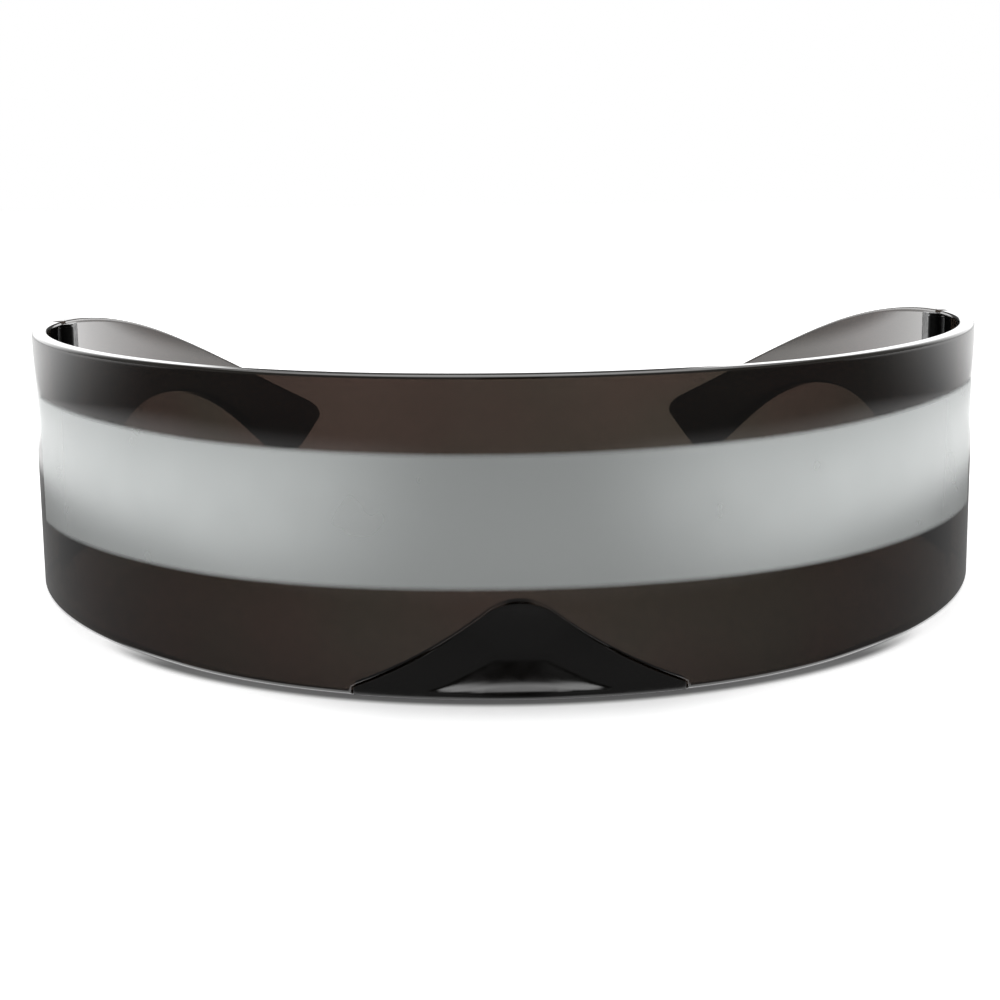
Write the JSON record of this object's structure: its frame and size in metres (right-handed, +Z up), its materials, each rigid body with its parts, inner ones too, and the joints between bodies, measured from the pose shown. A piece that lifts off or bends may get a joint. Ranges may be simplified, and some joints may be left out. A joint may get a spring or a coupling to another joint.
{
  "type": "sunglasses",
  "caption": "Wrap-round visor sunglasses with a one-piece smoke shield, a soft silver mirror stripe, a dark nose bridge and screwed folding arms.",
  "frame": {"origin": "under the middle of the whole object with its arms open, on the surface it stands on", "axes": "+X to the right as seen from the front, +Y from the shield back along the arms, +Z up"},
  "size_m": [0.149, 0.1892, 0.0395],
  "materials": {
    "smoke_shield": "gloss",
    "mirror_stripe": "mirror coat",
    "black_plastic": "gloss",
    "black_metal": "satin"
  },
  "bodies": {
    "front": {"shield": "smoke_shield", "mirror_stripe": "mirror_stripe", "nose_bridge": "black_plastic", "hinge_front_left": "black_metal", "hinge_front_right": "black_metal", "hinge_screw_left": "black_metal", "hinge_screw_right": "black_metal"},
    "arm_left": {"temple_left": "smoke_shield", "hinge_arm_left": "black_metal"},
    "arm_right": {"temple_right": "smoke_shield", "hinge_arm_right": "black_metal"}
  },
  "joints": [
    {"name": "fold_left", "type": "hinge", "parent": "front", "child": "arm_left", "pos_m": [-0.07173, -0.00695, 0.0326], "axis": [0, 0, -1], "range_deg": [0, 90]},
    {"name": "fold_right", "type": "hinge", "parent": "front", "child": "arm_right", "pos_m": [0.07173, -0.00695, 0.0326], "axis": [0, 0, 1], "range_deg": [0, 79]}
  ]
}
